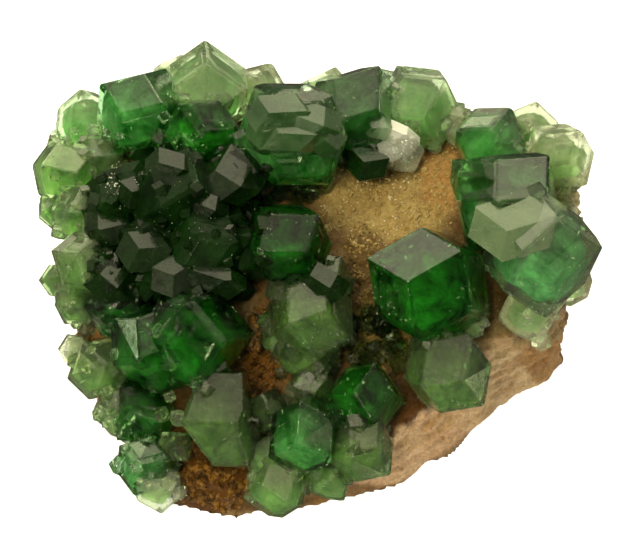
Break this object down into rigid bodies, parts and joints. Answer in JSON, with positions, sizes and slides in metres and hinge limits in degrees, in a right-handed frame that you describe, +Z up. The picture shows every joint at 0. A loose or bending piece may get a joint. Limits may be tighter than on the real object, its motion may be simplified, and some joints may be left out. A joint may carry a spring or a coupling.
{
  "type": "grossular garnet specimen",
  "caption": "Loose mineral specimen: clear green dodecahedral garnet crystals crusting a tan matrix rock that rests on a flat broken underside.",
  "frame": {"origin": "on the rock's flat broken underside, near the middle of the specimen", "axes": "+Z up out of the crusted top, +X along the specimen's length, -Y towards the bare rock face at the front"},
  "size_m": [0.0283, 0.0243, 0.0114],
  "materials": {
    "matrix_stone": "tan granular broken rock with rust in its hollows",
    "green_garnet": "clear deep green crystal with flat lustrous faces",
    "pale_garnet": "clear pale yellowish green crystal with flat lustrous faces"
  },
  "bodies": {
    "root": {"matrix_rock": "matrix_stone", "garnets_left_edge": "pale_garnet", "garnets_top_left": "green_garnet", "garnets_top": "green_garnet", "garnets_middle": "green_garnet", "garnets_left": "green_garnet", "garnets_right": "green_garnet", "garnets_centre_right": "green_garnet", "garnets_lower_left": "pale_garnet", "garnet_front_left": "green_garnet", "garnets_centre": "green_garnet", "garnets_lower_middle": "green_garnet"}
  },
  "joints": []
}
